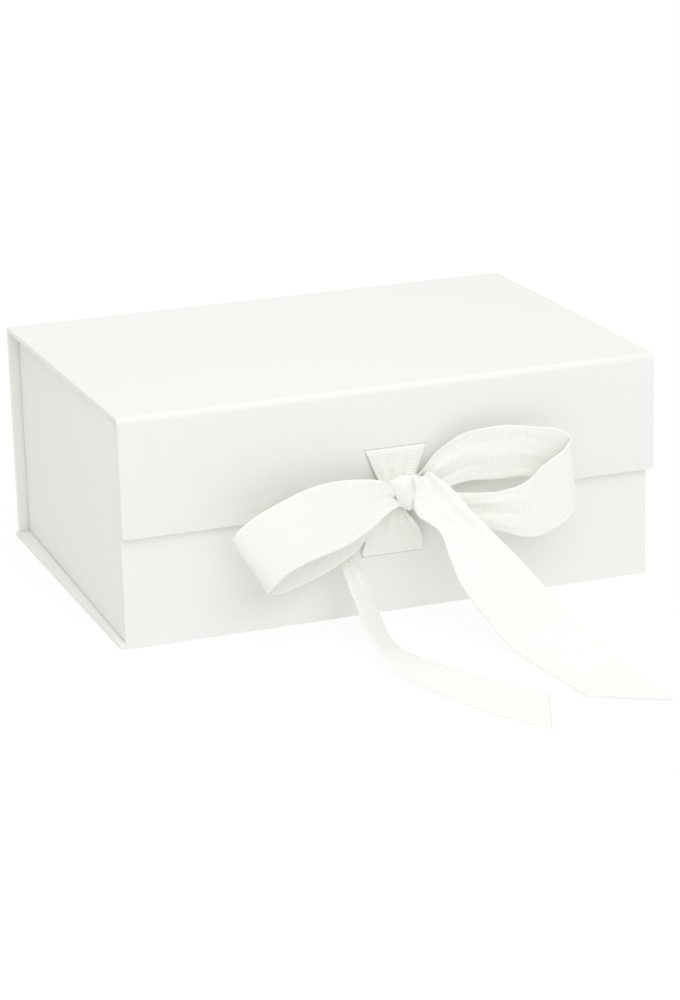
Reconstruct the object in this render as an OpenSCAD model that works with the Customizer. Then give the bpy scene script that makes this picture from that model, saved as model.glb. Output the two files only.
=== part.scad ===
// Favor box of paper-covered greyboard: a tray, a hinged lid that ends in a front flap,
// and a grosgrain ribbon tied in a bow through a slit in the flap and one in the front wall.
// The origin is on the table, under the middle of the base. X is the width, to the right
// seen from the front, Y is the depth, towards the back, and Z is up. Lengths are in mm.

/* [Box] */
// Width of the base, back panel, lid and flap
box_w = 230; // [190:1:280]
// Depth, from the front wall's face to the back panel's face
box_d = 162; // [130:1:200]
// Height of the closed box
box_h = 95.5; // [80:0.5:120]

/* [Board and paper] */
// Thickness of the greyboard
board_t = 2; // [1.5:0.1:3]
// Thickness of the outer paper with its glue
wrap_t = 0.3; // [0.2:0.05:0.5]
// Thickness of the lining paper with its glue
liner_t = 0.2; // [0.1:0.05:0.4]
// Border of outer paper left round each lining
liner_inset = 3; // [2:0.5:6]
// The same at the ends of the base and back panel, where the side walls stand on it
foot_inset = 8; // [7:0.5:12]
// Radius of the panels' free corners
corner_r = 1.2; // [0.8:0.1:3]

/* [Walls] */
// How far the left wall stands in from the base's left edge, at the front
left_inset = 2.2; // [0.3:0.1:5]
// How far the right wall stands in from the base's right edge, at the front
right_inset = 0.3; // [0.2:0.1:5]
// How much further in the side walls stand at the back
side_toe_in = 3.4; // [0:0.1:5]
// Open joint under the side walls
seam_gap = 0.3; // [0.1:0.05:0.8]
// Open joint between the side walls and the back panel
back_gap = 0.5; // [0.3:0.1:1.5]
// Space between the walls' top edges and the lid's lining
lid_gap = 0.3; // [0.2:0.05:0.8]

/* [Glue strips] */
// Width of each leg of the paper strips that hold the side walls
tab_w = 15; // [8:1:20]
// Thickness of the paper strips
tab_t = 0.2; // [0.1:0.05:0.4]

/* [Lid and flap] */
// Sideways offset of the closed lid against the base
lid_shift = 2.1; // [-3:0.1:3]
// Sideways offset of the back panel against the base
back_shift = 1.2; // [-2:0.1:2]
// Drop of the flap, from the lid's top to its lower edge
flap_drop = 49.5; // [42:0.5:58]
// Space between the flap's lining and the front wall
flap_gap = 0.2; // [0.1:0.05:0.6]
// How far a fold's centre lies under the lid's lining
fold_slack = 0.1; // [0.05:0.05:0.5]
// Bare paper on each side of the fold between lid and flap
flap_groove = 0.4; // [0.3:0.1:1.5]
// Widest opening of the lid, in degrees
lid_open = 150; // [120:5:170]
// Space left between the lid's and the back panel's edges at that opening
open_gap = 0.2; // [0.1:0.05:0.5]

/* [Magnets] */
// Diameter of each disc magnet
magnet_d = 10; // [6:1:15]
// Distance between the two magnets' centres
magnet_pitch = 140; // [90:5:170]
// Height of the magnets above the flap's lower edge
magnet_rise = 11; // [9:1:16]
// Clearance round a magnet in its hole
magnet_fit = 0.1; // [0.05:0.05:0.2]

/* [Ribbon] */
// Width of the ribbon
ribbon_w = 25.5; // [20:0.5:30]
// Thickness of the ribbon
ribbon_t = 0.5; // [0.3:0.05:0.7]
// Extra length of a slit at each end of the ribbon
slit_end_gap = 0.7; // [0.4:0.1:2]
// Space above and under the ribbon in a slit
slit_play = 0.3; // [0.2:0.05:0.6]
// Height of the upper slit above the flap's lower edge
upper_slit_rise = 24; // [20:0.5:28]
// Height of the lower slit above the table
lower_slit_z = 24.4; // [20:0.2:27]
// Length of ribbon glued flat behind each slit
glued_end = 16; // [8:1:18]
// Depth of the folds where the ribbon is gathered
pleat_depth = 2; // [1:0.1:2.5]
// Number of folds where the ribbon is gathered
pleats = 3; // [2:1:4]

/* [Bow] */
// Width of the knot
knot_w = 12.4; // [11:0.2:14]
// Height of the knot
knot_h = 14.6; // [13.5:0.1:15]
// Depth of the knot, front to back
knot_d = 12.4; // [11:0.2:15]
// Height of the knot's middle above the flap's lower edge
knot_rise = 8; // [7.8:0.1:9]
// Gap between the knot and what runs into it
knot_gap = 0.3; // [0.2:0.05:0.6]
// Reach of each loop from the knot's middle
loop_reach = 70; // [60:1:80]
// Reach of the tails over the table, in front of the knot
tail_reach = 120; // [105:1:140]

/* [Hidden] */

// Fine steps on circles, so that they stay true curves
$fn = 48;
// Overrun of every cut
over = 0.5;

// One finished panel: outer paper, board, lining
panel_t = wrap_t + board_t + liner_t;
// Radius of the rounded paper folds
fold_r = panel_t + fold_slack;
// Outer paper and lining glued together, where a fold has no board
fold_t = wrap_t + liner_t;

// Faces and edges of the closed box
front_y = -box_d / 2;
back_y = box_d / 2;
flap_y = front_y - flap_gap - panel_t;
flap_z = box_h - flap_drop;
wall_top = box_h - panel_t - lid_gap;

// Centres of the two folds, which are the hinge axes
flap_axis_y = flap_y + fold_r;
lid_axis_y = back_y - fold_r;
axis_z = box_h - fold_r;

// Bare paper on each side of the rear fold, so that the boards clear each other when open
lid_groove = fold_r * tan((lid_open - 90) / 2) + open_gap;

// Lid, flap and back panel end where the bare paper of a fold starts
lid_front = flap_axis_y + flap_groove;
lid_back = lid_axis_y - lid_groove;
lid_len = lid_back - lid_front;
flap_h = axis_z - flap_groove - flap_z;
back_h = axis_z - lid_groove - panel_t;

// Front wall, between the side walls' outer faces
front_w = box_w - left_inset - right_inset;
front_x = (left_inset - right_inset) / 2;
front_h = wall_top - panel_t;

// Side walls, from the front wall to the back panel, leaning in towards the back
corner_gap = wrap_t / 2;
side_start = front_y + panel_t + corner_gap;
side_run = back_y - panel_t - back_gap - side_start;
toe_angle = asin(side_toe_in / side_run);
side_len = side_run - panel_t * sin(toe_angle);
side_h = wall_top - panel_t - seam_gap;

// Slits and the ribbon's glued ends
slit_w = ribbon_w + 2 * slit_end_gap;
slit_h = ribbon_t + 2 * slit_play;
upper_slit_z = flap_z + upper_slit_rise;
magnet_z = flap_z + magnet_rise;
magnet_t = board_t - 2 * magnet_fit;

// Middle of the knot, and half its size with the gap round it
knot_at = [lid_shift, flap_y - knot_gap - knot_d / 2, flap_z + knot_rise];
knot_half = [knot_w / 2 + knot_gap, knot_d / 2 + knot_gap, knot_h / 2 + knot_gap];
// Height of a tail's middle where it lies on the table
tail_lie = ribbon_t;
// Top of the lower tie, just under the flap's lower edge
tie_top = flap_z - knot_gap;

paper_white = "#f4f5f1";
lining_white = "#f1f1ec";
board_grey = "#a9a294";
ribbon_white = "#fbfaf5";
magnet_grey = "#8d9094";

// Plates and panels

module plate(w, h, r, square_top = false) {
    if (square_top)
        translate([0, h / 2 - r]) square([w, 2 * r], center = true);
    if (r > 0) {
        square([w - 2 * r, h], center = true);
        square([w, h - 2 * r], center = true);
        for (x = [-1, 1], y = [-1, 1])
            translate([x * (w / 2 - r), y * (h / 2 - r)]) circle(r);
    } else
        square([w, h], center = true);
}

// A panel lies flat with its outer face at height zero. These are its three layers.
module board(w, h, r, square_top = false) {
    translate([0, 0, wrap_t]) linear_extrude(board_t)
        plate(w - 2 * wrap_t, h - 2 * wrap_t, max(r - wrap_t, 0), square_top);
}

module liner(w, h, end_inset = liner_inset) {
    translate([0, 0, wrap_t + board_t]) linear_extrude(liner_t)
        plate(w - 2 * end_inset, h - 2 * liner_inset, 0);
}

module wrap(w, h, r, square_top = false, end_inset = liner_inset) {
    difference() {
        linear_extrude(panel_t) plate(w, h, r, square_top);
        board(w, h, r, square_top);
        translate([0, 0, wrap_t + board_t]) linear_extrude(liner_t + over)
            plate(w - 2 * end_inset, h - 2 * liner_inset, 0);
    }
}

// Places for the panels: each child is a panel that lies flat

// The base stops a paper's thickness short of the front and back papers
base_d = box_d - 2 * wrap_t;

module as_lid() {
    translate([lid_shift, (lid_front + lid_back) / 2, box_h]) mirror([0, 0, 1]) children();
}

module as_flap() {
    translate([lid_shift, flap_y, flap_z + flap_h / 2])
        mirror([0, 1, 0]) rotate([90, 0, 0]) children();
}

module as_front() {
    translate([front_x, front_y, panel_t + front_h / 2])
        mirror([0, 1, 0]) rotate([90, 0, 0]) children();
}

module as_back() {
    translate([back_shift, back_y, panel_t + back_h / 2]) rotate([90, 0, 0]) children();
}

// A frame at a side wall's outer front edge, with X inwards and Y along the wall
module at_side(side) {
    inset = side < 0 ? left_inset : right_inset;
    translate([side * (box_w / 2 - inset), side_start, 0])
        rotate([0, 0, side * toe_angle])
            if (side < 0) children(); else mirror([1, 0, 0]) children();
}

module as_side(side) {
    at_side(side) translate([0, side_len / 2, panel_t + seam_gap + side_h / 2])
        rotate([90, 0, 90]) children();
}

// Cuts in the boards and papers

// A slit through a panel that lies flat, at a height above the panel's middle
module slit(rise) {
    translate([0, rise, panel_t / 2])
        cube([slit_w, slit_h, panel_t + 2 * over], center = true);
}

// A shallow bed for the glued end, on the board's inner face, from the slit to one side of it
module glue_bed(rise, way) {
    bed = glued_end + slit_play;
    translate([0, rise + way * bed / 2, wrap_t + board_t - ribbon_t / 2 + over / 2])
        cube([ribbon_w + 2 * slit_play, bed, ribbon_t + over], center = true);
}

module magnet_holes(rise) {
    for (x = [-1, 1])
        translate([x * magnet_pitch / 2, rise, wrap_t - over])
            cylinder(h = board_t + 2 * over, d = magnet_d + 2 * magnet_fit);
}

module magnet_pair(rise) {
    for (x = [-1, 1])
        translate([x * magnet_pitch / 2, rise, wrap_t + magnet_fit])
            cylinder(h = magnet_t, d = magnet_d);
}

// Heights above the middle of the flap and of the front wall
flap_mid = flap_z + flap_h / 2;
front_mid = panel_t + front_h / 2;
flap_slit = upper_slit_z - flap_mid;
flap_magnet = magnet_z - flap_mid;
front_slit = lower_slit_z - front_mid;
front_magnet = magnet_z - front_mid;

// Tray

module base_board() {
    color(board_grey) board(box_w, base_d, corner_r);
}

module base_wrap() {
    color(paper_white) wrap(box_w, base_d, corner_r, end_inset = foot_inset);
}

module base_liner() {
    color(lining_white) liner(box_w, base_d, foot_inset);
}

module front_board() {
    color(board_grey) as_front() difference() {
        board(front_w, front_h, 0);
        slit(front_slit);
        glue_bed(front_slit, -1);
        magnet_holes(front_magnet);
    }
}

// The outer paper runs on down over the base's front edge
module front_wrap() {
    color(paper_white) {
        as_front() difference() {
            wrap(front_w, front_h, 0);
            slit(front_slit);
        }
        translate([front_x - front_w / 2, front_y, 0])
            cube([front_w, wrap_t, panel_t + wrap_t]);
    }
}

module front_liner() {
    color(lining_white) as_front() liner(front_w, front_h);
}

module back_board() {
    color(board_grey) as_back() board(box_w, back_h, 0);
}

module back_wrap() {
    color(paper_white) {
        as_back() wrap(box_w, back_h, 0, end_inset = foot_inset);
        translate([back_shift - box_w / 2, back_y - wrap_t, 0])
            cube([box_w, wrap_t, panel_t + wrap_t]);
    }
}

module back_liner() {
    color(lining_white) as_back() liner(box_w, back_h, foot_inset);
}

module side_board(side) {
    color(board_grey) as_side(side) board(side_len, side_h, 0);
}

module side_wrap(side) {
    color(paper_white) as_side(side) wrap(side_len, side_h, 0);
}

module side_liner(side) {
    color(lining_white) as_side(side) liner(side_len, side_h);
}

// Paper angle along a side wall's foot: one leg on the base, one up the wall
module base_tab(side) {
    color(lining_white) at_side(side) translate([panel_t, tab_w, panel_t]) {
        cube([tab_w, side_len - 2 * tab_w, tab_t]);
        cube([tab_t, side_len - 2 * tab_w, tab_w]);
    }
}

// Paper angle up a side wall's back edge: one leg on the wall, one on the back panel
module back_tab(side) {
    foot = panel_t + tab_w;
    rise = back_h - 2 * tab_w;
    inset = side < 0 ? left_inset : right_inset;
    inner = box_w / 2 - inset - side_toe_in - panel_t;
    color(lining_white) {
        at_side(side) translate([panel_t, side_len - tab_w, foot])
            cube([tab_t, tab_w + back_gap, rise]);
        translate([side < 0 ? -inner : inner - tab_w, back_y - panel_t - tab_t, foot])
            cube([tab_w, tab_t, rise]);
    }
}

module wall_magnets() {
    color(magnet_grey) as_front() magnet_pair(front_magnet);
}

// Paper folds: a quarter round with bare paper on both sides of it, along X

module fold_strip(w, groove) {
    rotate([90, 0, 90]) linear_extrude(w, center = true) {
        intersection() {
            difference() {
                circle(fold_r);
                circle(fold_r - fold_t);
            }
            square(fold_r + over);
        }
        translate([-groove, fold_r - fold_t]) square([groove, fold_t]);
        translate([fold_r - fold_t, -groove]) square([fold_t, groove]);
    }
}

// Lid

module lid_board() {
    color(board_grey) as_lid() board(box_w, lid_len, 0);
}

module lid_wrap() {
    color(paper_white) as_lid() wrap(box_w, lid_len, 0);
}

module lid_liner() {
    color(lining_white) as_lid() liner(box_w, lid_len);
}

module lid_hinge_paper() {
    color(paper_white) translate([(lid_shift + back_shift) / 2, lid_axis_y, axis_z])
        fold_strip(box_w - abs(lid_shift - back_shift), lid_groove);
}

// Flap

module flap_board() {
    color(board_grey) as_flap() difference() {
        board(box_w, flap_h, corner_r, true);
        slit(flap_slit);
        glue_bed(flap_slit, 1);
        magnet_holes(flap_magnet);
    }
}

module flap_wrap() {
    color(paper_white) as_flap() difference() {
        wrap(box_w, flap_h, corner_r, true);
        slit(flap_slit);
    }
}

module flap_liner() {
    color(lining_white) as_flap() liner(box_w, flap_h);
}

module flap_hinge_paper() {
    color(paper_white) translate([lid_shift, flap_axis_y, axis_z]) mirror([0, 1, 0])
        fold_strip(box_w, flap_groove);
}

module flap_magnets() {
    color(magnet_grey) as_flap() magnet_pair(flap_magnet);
}

// Ribbon. A row is a place on the ribbon's middle line, the direction across the ribbon
// there, and the share of its width that shows, which is 1 where it lies flat.

function unit(v) = v / norm(v);
function middle(row) = [row[0], row[1], row[2]];
function across(row) = unit([row[3], row[4], row[5]]);

// A row at share t of the way along a smooth curve through all rows
function curve_row(rows, t) =
    let (
        last = len(rows) - 1,
        k = min(floor(t * last), last - 1),
        u = t * last - k,
        b = rows[k],
        c = rows[k + 1],
        a = k > 0 ? rows[k - 1] : 2 * b - c,
        d = k < last - 1 ? rows[k + 2] : 2 * c - b
    )
    (2 * b + (c - a) * u + (2 * a - 5 * b + 4 * c - d) * u * u
        + (3 * b - a - 3 * c + d) * u * u * u) / 2;

// Share of a ribbon's length that is looked at on each side to find its direction
look_share = 0.01;

function heading(rows, t) =
    unit(middle(curve_row(rows, min(t + look_share, 1)))
        - middle(curve_row(rows, max(t - look_share, 0))));

// A point of the ribbon: t along it, s across it from -0.5 to 0.5, lift out of its face
function ribbon_point(rows, t, s, lift) =
    let (
        row = curve_row(rows, t),
        side = across(row),
        face = unit(cross(heading(rows, t), side)),
        fold = pleat_depth * (1 - row[6]) * cos(360 * pleats * s) / 2
    )
    middle(row) + side * ribbon_w * row[6] * s + face * (fold + lift);

// A strip of ribbon. The share of its length that its end is cut back by, on one edge, is cut_share.
module ribbon(rows, steps, columns, cut_share = 0) {
    side_count = columns + 1;
    layer = (steps + 1) * side_count;
    points = [for (lift = [ribbon_t / 2, -ribbon_t / 2], i = [0:steps], j = [0:columns])
        let (s = j / columns - 0.5)
        ribbon_point(rows, i / steps * (1 - cut_share * (0.5 - s)), s, lift)];
    function at(i, j) = i * side_count + j;
    face_top = [for (i = [0:steps - 1], j = [0:columns - 1], half = [0, 1])
        half == 0 ? [at(i, j), at(i, j + 1), at(i + 1, j + 1)]
            : [at(i, j), at(i + 1, j + 1), at(i + 1, j)]];
    face_low = [for (f = face_top) [f[2] + layer, f[1] + layer, f[0] + layer]];
    rim = concat(
        [for (j = [0:columns]) at(0, j)],
        [for (i = [1:steps]) at(i, columns)],
        [for (j = [columns - 1:-1:0]) at(steps, j)],
        [for (i = [steps - 1:-1:1]) at(i, 0)]);
    around = len(rim);
    edges = [for (k = [0:around - 1], half = [0, 1])
        let (p = rim[k], q = rim[(k + 1) % around])
        half == 0 ? [q, p, p + layer] : [q, p + layer, q + layer]];
    polyhedron(points, concat(face_top, face_low, edges), convexity = 6);
}

// Rows at the knot, in shares of half its size, and rows of the loops and tails, in shares
// of their reach. A tail's height is a share of the knot's height above the table.
function at_knot(shares, lean, spread) =
    concat([for (k = [0:2]) knot_at[k] + shares[k] * knot_half[k]], lean, [spread]);
function at_loop(shares) =
    concat([for (k = [0:2]) knot_at[k] + shares[k] * loop_reach],
        [for (k = [3:6]) shares[k]]);
function at_tail(shares) =
    concat([knot_at[0] + shares[0] * tail_reach, knot_at[1] + shares[1] * tail_reach,
        tail_lie + shares[2] * (knot_at[2] - tail_lie)], [for (k = [3:6]) shares[k]]);

left_loop_shares = [
    [-0.26, -0.10, -0.02, 0.05, 0.30, 0.95, 0.76],
    [-0.49, -0.17, -0.06, -0.10, 0.32, 0.93, 0.90],
    [-0.72, -0.23, -0.13, -0.25, 0.33, 0.90, 0.95],
    [-0.89, -0.25, -0.21, -0.38, 0.34, 0.85, 0.98],
    [-0.99, -0.21, -0.26, -0.46, 0.36, 0.80, 1.00],
    [-0.95, -0.12, -0.28, -0.46, 0.40, 0.78, 1.00],
    [-0.78, -0.07, -0.25, -0.38, 0.38, 0.85, 1.00],
    [-0.55, -0.04, -0.19, -0.25, 0.30, 0.92, 0.97],
    [-0.32, -0.01, -0.12, -0.10, 0.20, 0.95, 0.80]
];
right_loop_shares = [
    [0.25, 0.01, 0.09, -0.25, -0.10, 0.95, 0.70],
    [0.41, 0.01, 0.14, -0.15, -0.15, 0.95, 0.86],
    [0.61, 0.00, 0.14, -0.05, -0.18, 0.97, 0.94],
    [0.82, -0.02, 0.09, 0.00, -0.18, 0.97, 1.00],
    [0.99, -0.04, 0.01, 0.00, -0.10, 0.99, 1.00],
    [1.01, -0.13, -0.04, -0.05, 0.05, 0.99, 1.00],
    [0.91, -0.20, -0.09, -0.10, 0.10, 0.98, 0.98],
    [0.72, -0.23, -0.145, -0.12, 0.10, 0.98, 0.88],
    [0.49, -0.20, -0.165, -0.05, 0.10, 0.98, 0.70],
    [0.28, -0.14, -0.12, 0.10, 0.05, 0.97, 0.55]
];
left_tail_shares = [
    [-0.145, -0.04, 0.695, -0.58, -0.71, 0.31, 0.75],
    [-0.21, -0.07, 0.565, -0.58, -0.76, 0.21, 1.00],
    [-0.185, -0.09, 0.33, -0.59, -0.75, 0.21, 1.00],
    [-0.175, -0.12, 0.16, -0.56, -0.79, 0.31, 1.00],
    [-0.19, -0.265, 0.09, -0.63, -0.73, 0.36, 1.00],
    [-0.19, -0.45, 0.06, -0.64, -0.64, 0.23, 0.98],
    [-0.115, -0.645, 0.03, -0.94, -0.37, 0.11, 0.98],
    [-0.02, -0.84, 0.01, -0.91, -0.42, -0.02, 0.99],
    [0.05, -0.98, 0.01, -0.91, -0.42, -0.02, 1.00],
    [0.125, -1.105, 0.00, -0.91, -0.43, 0.00, 1.00]
];
right_tail_shares = [
    [0.085, -0.10, 0.94, 0.70, 0.22, 0.60, 0.60],
    [0.13, -0.175, 0.785, 0.95, 0.20, 0.20, 0.72],
    [0.155, -0.255, 0.635, 0.91, 0.10, 0.37, 0.87],
    [0.19, -0.325, 0.485, 0.88, 0.06, 0.44, 1.00],
    [0.24, -0.435, 0.285, 0.80, 0.02, 0.54, 1.04],
    [0.29, -0.545, 0.13, 0.84, 0.10, 0.44, 1.04],
    [0.315, -0.68, 0.075, 0.90, 0.22, 0.26, 1.02],
    [0.33, -0.82, 0.035, 0.94, 0.26, 0.12, 1.01],
    [0.335, -0.96, 0.03, 0.99, 0.00, 0.02, 1.01],
    [0.365, -1.09, 0.00, 0.99, 0.08, 0.00, 1.00]
];
// Share of each tail's length that its slanting end takes up
left_cut_share = 0.125;
right_cut_share = 0.095;

module bow_left_loop() {
    rows = concat([at_knot([-1.1, -0.3, 0.07], [0.15, 0.1, 0.95], 0.45)],
        [for (r = left_loop_shares) at_loop(r)],
        [at_knot([-1.1, 0.3, -0.4], [0.05, 0.1, 0.95], 0.42)]);
    color(ribbon_white) ribbon(rows, 26, 8);
}

module bow_right_loop() {
    rows = concat([at_knot([1.2, 0.1, 0.07], [-0.3, 0, 0.95], 0.45)],
        [for (r = right_loop_shares) at_loop(r)],
        [at_knot([1.2, -0.55, -0.55], [0.2, 0, 0.95], 0.42)]);
    color(ribbon_white) ribbon(rows, 26, 8);
}

module bow_left_tail() {
    rows = concat([at_knot([-0.8, -0.3, -0.98], [-0.9, -0.3, 0.3], 0.35)],
        [for (r = left_tail_shares) at_tail(r)]);
    color(ribbon_white) ribbon(rows, 24, 8, left_cut_share);
}

module bow_right_tail() {
    rows = concat([at_knot([1.05, -0.85, 0.02], [0.7, 0.25, 0.65], 0.45)],
        [for (r = right_tail_shares) at_tail(r)]);
    color(ribbon_white) ribbon(rows, 24, 8, right_cut_share);
}

// Ribbon behind a panel and through its slit. The panel's outer face is at y, and way is the
// side of the slit, up or down, on which the end is glued.
module glued_ribbon(x, y, z, way) {
    bed_y = y + wrap_t + board_t - ribbon_t;
    translate([x - ribbon_w / 2, 0, z]) {
        translate([0, y, -ribbon_t / 2]) cube([ribbon_w, bed_y + ribbon_t - y, ribbon_t]);
        translate([0, bed_y, way > 0 ? -ribbon_t / 2 : ribbon_t / 2 - glued_end])
            cube([ribbon_w, ribbon_t, glued_end]);
    }
}

// Rows of a tie: shares of the way from the slit out to the knot's middle, shares of the way
// from the slit to the tie's end, and the share of the width that shows
upper_tie_shares = [
    [0.00, 0.00, 1.00],
    [0.24, 0.06, 1.00],
    [0.42, 0.28, 0.97],
    [0.52, 0.62, 0.85],
    [0.54, 1.00, 0.68]
];
lower_tie_shares = [
    [0.00, 0.00, 1.00],
    [0.20, 0.03, 1.00],
    [0.34, 0.18, 0.98],
    [0.44, 0.42, 0.90],
    [0.55, 0.66, 0.70],
    [0.64, 0.86, 0.42],
    [0.68, 1.00, 0.34]
];

function tie_rows(shares, from, to) =
    [for (r = shares)
        let (x = from[0] + (to[0] - from[0]) * r[1])
        [x, from[1] + (to[1] - from[1]) * r[0], from[2] + (to[2] - from[2]) * r[1],
            1, 0, 0, r[2]]];

module upper_ribbon() {
    from = [lid_shift, flap_y + ribbon_t / 2, upper_slit_z];
    to = [knot_at[0], knot_at[1], knot_at[2] + knot_half[2]];
    color(ribbon_white) {
        glued_ribbon(from[0], flap_y, from[2], 1);
        ribbon(tie_rows(upper_tie_shares, from, to), 10, 12);
    }
}

module lower_ribbon() {
    from = [front_x, front_y + ribbon_t / 2, lower_slit_z];
    to = [knot_at[0], knot_at[1], tie_top];
    color(ribbon_white) {
        glued_ribbon(from[0], front_y, from[2], -1);
        ribbon(tie_rows(lower_tie_shares, from, to), 14, 12);
    }
}

// The knot: a barrel, squarish in section, with slanting folds round it
module bow_knot() {
    rings = 10;
    sides = 28;
    // Shares of the knot's size: how full its ends are, how deep and how slanting its folds
    end_share = 0.62;
    crease_share = 0.035;
    slant_share = 0.35;
    points = concat([for (i = [0:rings], k = [0:sides - 1])
        let (
            u = 2 * i / rings - 1,
            a = 360 * k / sides,
            crease = 1 + crease_share * cos(3 * a + 360 * slant_share * u),
            r = (end_share + (1 - end_share) * sqrt(1 - u * u)) * crease / (1 + crease_share)
        )
        knot_at + [u * knot_w / 2, cos(a) * r * knot_d / 2, sin(a) * r * knot_h / 2]],
        [knot_at - [knot_w / 2, 0, 0], knot_at + [knot_w / 2, 0, 0]]);
    ends = (rings + 1) * sides;
    faces = concat(
        [for (i = [0:rings - 1], k = [0:sides - 1], half = [0, 1])
            let (a = i * sides + k, b = i * sides + (k + 1) % sides)
            half == 0 ? [a, a + sides, b + sides] : [a, b + sides, b]],
        [for (k = [0:sides - 1]) [ends, k, (k + 1) % sides]],
        [for (k = [0:sides - 1])
            [ends + 1, rings * sides + (k + 1) % sides, rings * sides + k]]);
    color(ribbon_white) polyhedron(points, faces, convexity = 4);
}

base_board();
front_board();
back_board();
side_board(-1);  // left_side_board
side_board(1);  // right_side_board
base_wrap();
front_wrap();
back_wrap();
side_wrap(-1);  // left_side_wrap
side_wrap(1);  // right_side_wrap
base_liner();
front_liner();
back_liner();
side_liner(-1);  // left_side_liner
side_liner(1);  // right_side_liner
base_tab(-1);  // left_base_tab
base_tab(1);  // right_base_tab
back_tab(-1);  // left_back_tab
back_tab(1);  // right_back_tab
wall_magnets();
lower_ribbon();
lid_board();
lid_wrap();
lid_liner();
lid_hinge_paper();
flap_board();
flap_wrap();
flap_liner();
flap_hinge_paper();
flap_magnets();
upper_ribbon();
bow_knot();
bow_left_loop();
bow_right_loop();
bow_left_tail();
bow_right_tail();
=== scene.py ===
# %% [markdown]
# # A white favor box with a tied ribbon
# The imported CAD model gives the box its sizes, its bodies and its two paper hinges. This
# file dresses it: the panels get paper with soft wrapped edges, and the plain ribbon solids
# are replaced by woven ribbon that is pleated into a knot. All lengths are in metres, in the
# CAD model's own frame: X to the right, Y to the back, Z up, the origin under the box.

import math

import bmesh
import bpy
from mathutils import Matrix, Vector


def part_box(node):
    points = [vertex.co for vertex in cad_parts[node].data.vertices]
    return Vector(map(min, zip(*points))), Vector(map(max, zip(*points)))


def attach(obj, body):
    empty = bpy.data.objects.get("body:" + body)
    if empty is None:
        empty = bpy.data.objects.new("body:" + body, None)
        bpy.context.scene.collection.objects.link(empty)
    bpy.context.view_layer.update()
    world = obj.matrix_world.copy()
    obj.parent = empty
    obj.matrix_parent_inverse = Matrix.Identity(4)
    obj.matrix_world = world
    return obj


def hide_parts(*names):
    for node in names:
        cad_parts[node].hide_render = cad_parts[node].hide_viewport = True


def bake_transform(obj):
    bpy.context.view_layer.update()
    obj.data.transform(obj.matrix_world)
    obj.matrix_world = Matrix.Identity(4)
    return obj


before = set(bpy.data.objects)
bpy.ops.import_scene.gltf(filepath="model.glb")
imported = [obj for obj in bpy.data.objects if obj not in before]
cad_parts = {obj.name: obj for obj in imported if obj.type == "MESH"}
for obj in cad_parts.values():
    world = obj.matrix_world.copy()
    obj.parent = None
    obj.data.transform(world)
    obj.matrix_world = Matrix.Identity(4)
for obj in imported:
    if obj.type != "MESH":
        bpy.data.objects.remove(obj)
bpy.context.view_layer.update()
MM = 0.001

# %% [markdown]
# The camera comes first, because everything is compared with the photograph through it.
# It could be aimed by eye, but then no edge would lie where it should, so its place, angles
# and focal length were worked out from the corners of the box in the picture, which is
# 1000 pixels high. A camera looks along its own -Z, so its three axes are written down as
# right, up and back.

# %% Camera
CAMERA_AT = Vector((-426.6, -1190.9, 419.0)) * MM
YAW, PITCH, ROLL = (math.radians(a) for a in (20.075, 17.339, -1.534))
SENSOR_MM, FOCAL_PX, FRAME_PX = 36.0, 3086.4, 1000


def camera_matrix():
    ahead = Vector((math.sin(YAW) * math.cos(PITCH), math.cos(YAW) * math.cos(PITCH), -math.sin(PITCH)))
    level = Vector((math.cos(YAW), -math.sin(YAW), 0))
    right = math.cos(ROLL) * level + math.sin(ROLL) * level.cross(ahead)
    turn = Matrix((right, right.cross(ahead), -ahead)).transposed()
    return Matrix.Translation(CAMERA_AT) @ turn.to_4x4()


camera = bpy.data.objects.new("camera", bpy.data.cameras.new("camera"))
camera.data.sensor_width = SENSOR_MM
camera.data.lens = SENSOR_MM * FOCAL_PX / FRAME_PX
camera.data.clip_start, camera.data.clip_end = 0.05, 20
camera.matrix_world = camera_matrix()
bpy.context.collection.objects.link(camera)
bpy.context.scene.camera = camera
print("lens %.1f mm" % camera.data.lens)

# %% [markdown]
# A material is a small graph of nodes. Small helpers keep the graphs short: one turns an
# sRGB hex colour into the linear numbers that Blender works with, one adds a node with its
# settings and its links, and one does sums.

# %% Helpers for materials
def colour(code):
    """An sRGB hex code as linear red, green, blue and alpha."""
    parts = [int(code[i:i + 2], 16) / 255 for i in (1, 3, 5)]
    return [c / 12.92 if c <= 0.04045 else ((c + 0.055) / 1.055) ** 2.4 for c in parts] + [1]


def add(tree, kind, links=(), values=(), **settings):
    """Add a node. links and values fill its inputs, and settings are its own properties."""
    node = tree.nodes.new(kind)
    for key, value in settings.items():
        setattr(node, key, value)
    for name, value in dict(values).items():
        node.inputs[name].default_value = value
    for name, source in dict(links).items():
        tree.links.new(source, node.inputs[name])
    return node


def math_node(tree, operation, *terms):
    """One sum of a Math node. A term is a number or another node's output."""
    node = add(tree, "ShaderNodeMath", operation=operation)
    for socket, term in zip(node.inputs, terms):
        if isinstance(term, (int, float)):
            socket.default_value = term
        else:
            tree.links.new(term, socket)
    return node.outputs["Value"]


def new_material(name):
    material = bpy.data.materials.new(name)
    material.use_nodes = True
    material.node_tree.nodes.clear()
    return material, material.node_tree


def finish_material(tree, shader):
    add(tree, "ShaderNodeOutputMaterial", {"Surface": shader.outputs["BSDF"]})


print("half grey, #808080, is %.2f of the light of white" % colour("#808080")[0])

# %% [markdown]
# The box is greyboard covered with white, uncoated, slightly cool paper. One plain colour
# would look like plastic on such large faces. Fibres give real paper a fine tooth, drawn
# here half a millimetre across so that it shows, and the glue under it leaves a soft
# unevenness, a few centimetres across, that shows as faint shading. Both are noise
# textures: the fibres tint the sheet and bump it, and the glue only bumps it. Paper is
# rough and hardly shines.

# %% Paper material
GLUE_PATCH_MM = 35


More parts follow.
